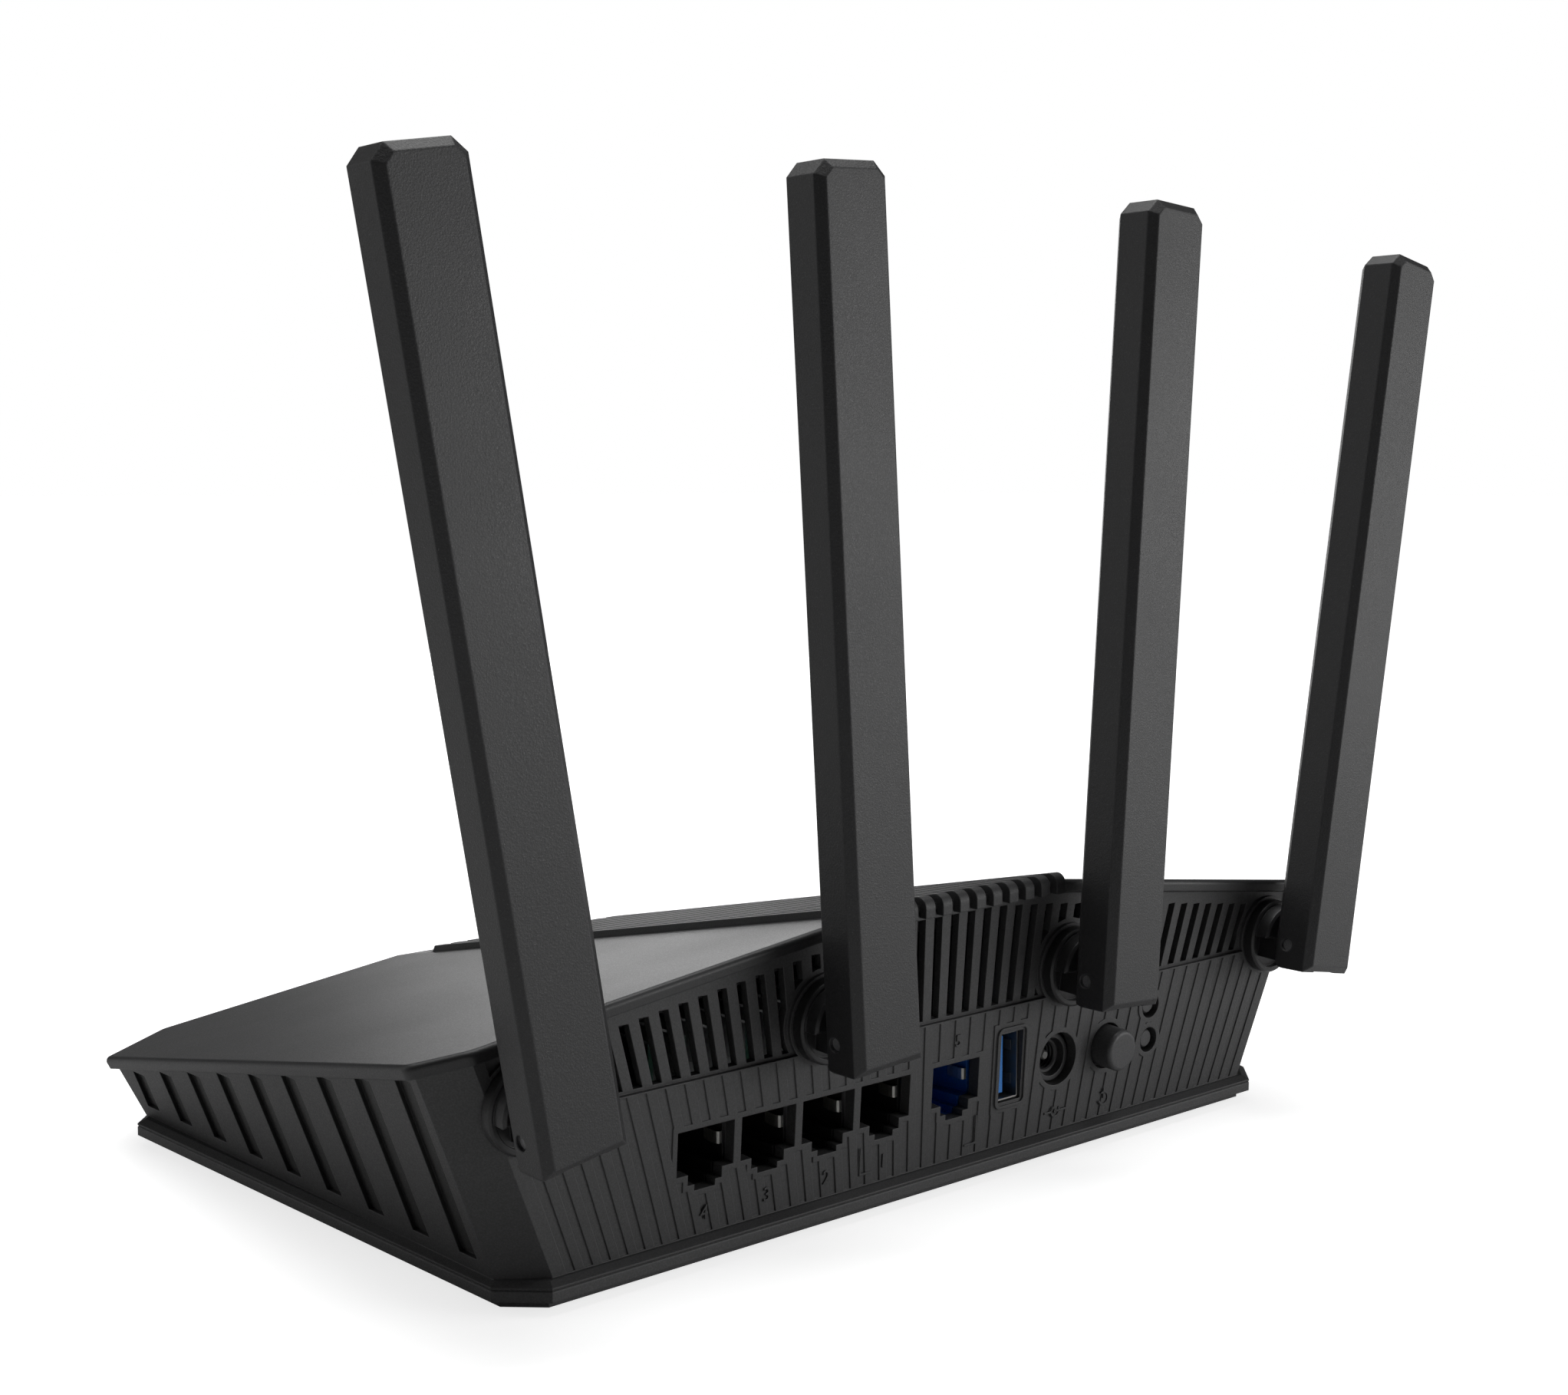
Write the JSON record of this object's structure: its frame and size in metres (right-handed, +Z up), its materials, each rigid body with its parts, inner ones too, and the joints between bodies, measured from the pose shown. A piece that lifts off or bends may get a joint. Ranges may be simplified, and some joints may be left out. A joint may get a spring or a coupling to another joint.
{
  "type": "wireless router",
  "caption": "Wedge-shaped desktop wireless router with fan-ribbed rear panel, network sockets, buttons and folding flat aerials on swivels.",
  "frame": {"origin": "middle of the footprint of the whole router with its aerials up, at table height", "axes": "+Z up, +Y out through the ports, +X to the side of the first network socket"},
  "size_m": [0.2578, 0.1717, 0.1844],
  "materials": {
    "black_shell": "fine matte grain",
    "black_tray": "matte",
    "black_roof": "fine satin grain",
    "black_ribs": "fine matte grain",
    "aerial_black": "fine matte grain",
    "hinge_black": "matte",
    "rubber_foot": "matte",
    "screw_steel": "zinc plated",
    "board_green": "solder mask",
    "chip_black": "matte",
    "sink_metal": "anodised",
    "can_metal": "tinned",
    "socket_black": "moulded",
    "socket_blue": "moulded",
    "contact_gold": "gold plated",
    "spring_metal": "plated",
    "usb_metal": "nickel plated",
    "usb_blue": "moulded",
    "inlet_black": "moulded",
    "inlet_metal": "nickel plated",
    "button_black": "satin",
    "switch_black": "moulded",
    "guide_clear": "frosted",
    "strip_green": "laminate"
  },
  "bodies": {
    "housing": {"base_tray": "black_tray", "feet": "rubber_foot", "base_screws": "screw_steel", "body_shell": "black_shell", "top_cover": "black_roof", "vent_panel": "black_ribs", "main_board": "board_green", "board_screws": "screw_steel", "chips": "chip_black", "heatsink": "sink_metal", "shield_cans": "can_metal", "lan_jack": "socket_black", "wan_jack": "socket_blue", "lan_contacts": "contact_gold", "wan_contacts": "contact_gold", "jack_springs": "spring_metal", "usb_shell": "usb_metal", "usb_tongue": "usb_blue", "power_inlet": "inlet_black", "inlet_pin": "inlet_metal", "power_switch": "switch_black", "tact_switches": "switch_black", "light_guides": "guide_clear"},
    "aerial_1_base": {"aerial_1_swivel": "hinge_black"},
    "aerial_1": {"aerial_1_sleeve": "aerial_black", "aerial_1_pin": "inlet_metal", "aerial_1_strip": "strip_green"},
    "aerial_2_base": {"aerial_2_swivel": "hinge_black"},
    "aerial_2": {"aerial_2_sleeve": "aerial_black", "aerial_2_pin": "inlet_metal", "aerial_2_strip": "strip_green"},
    "aerial_3_base": {"aerial_3_swivel": "hinge_black"},
    "aerial_3": {"aerial_3_sleeve": "aerial_black", "aerial_3_pin": "inlet_metal", "aerial_3_strip": "strip_green"},
    "aerial_4_base": {"aerial_4_swivel": "hinge_black"},
    "aerial_4": {"aerial_4_sleeve": "aerial_black", "aerial_4_pin": "inlet_metal", "aerial_4_strip": "strip_green"},
    "power_button": {"power_button": "button_black"},
    "wps_button": {"wps_button": "button_black"},
    "reset_button": {"reset_button": "button_black"}
  },
  "joints": [
    {"name": "aerial_1_swing", "type": "hinge", "parent": "housing", "child": "aerial_1_base", "pos_m": [0.0959, 0.06884, 0.0356], "axis": [0, 0.998, -0.0639], "range_deg": [-20, 79]},
    {"name": "aerial_1_fold", "type": "hinge", "parent": "aerial_1_base", "child": "aerial_1", "pos_m": [0.0959, 0.07962, 0.03491], "axis": [-0.9845, 0.0112, 0.175], "range_deg": [0, 90]},
    {"name": "aerial_2_swing", "type": "hinge", "parent": "housing", "child": "aerial_2_base", "pos_m": [0.0321, 0.06903, 0.0386], "axis": [0, 0.998, -0.0639], "range_deg": [-20, 22]},
    {"name": "aerial_2_fold", "type": "hinge", "parent": "aerial_2_base", "child": "aerial_2", "pos_m": [0.0321, 0.07981, 0.03791], "axis": [-0.9979, 0.0041, 0.0644], "range_deg": [0, 90]},
    {"name": "aerial_3_swing", "type": "hinge", "parent": "housing", "child": "aerial_3_base", "pos_m": [-0.0321, 0.06903, 0.0386], "axis": [0, 0.998, -0.0639], "range_deg": [-22, 20]},
    {"name": "aerial_3_fold", "type": "hinge", "parent": "aerial_3_base", "child": "aerial_3", "pos_m": [-0.0321, 0.07981, 0.03791], "axis": [-0.9979, -0.0041, -0.0644], "range_deg": [0, 90]},
    {"name": "aerial_4_swing", "type": "hinge", "parent": "housing", "child": "aerial_4_base", "pos_m": [-0.0959, 0.06884, 0.0356], "axis": [0, 0.998, -0.0639], "range_deg": [-79, 20]},
    {"name": "aerial_4_fold", "type": "hinge", "parent": "aerial_4_base", "child": "aerial_4", "pos_m": [-0.0959, 0.07962, 0.03491], "axis": [-0.9845, -0.0112, -0.175], "range_deg": [0, 90]},
    {"name": "power_button_push", "type": "slide", "parent": "housing", "child": "power_button", "axis": [0, -0.998, 0.0639], "range_m": [0, 0.0016], "stiffness_N_per_m": 1200, "springref_m": -0.0005},
    {"name": "wps_button_push", "type": "slide", "parent": "housing", "child": "wps_button", "axis": [0, -0.998, 0.0639], "range_m": [0, 0.0004], "stiffness_N_per_m": 3000, "springref_m": -0.0005},
    {"name": "reset_button_push", "type": "slide", "parent": "housing", "child": "reset_button", "axis": [0, -0.998, 0.0639], "range_m": [0, 0.0004], "stiffness_N_per_m": 3000, "springref_m": -0.0005}
  ]
}
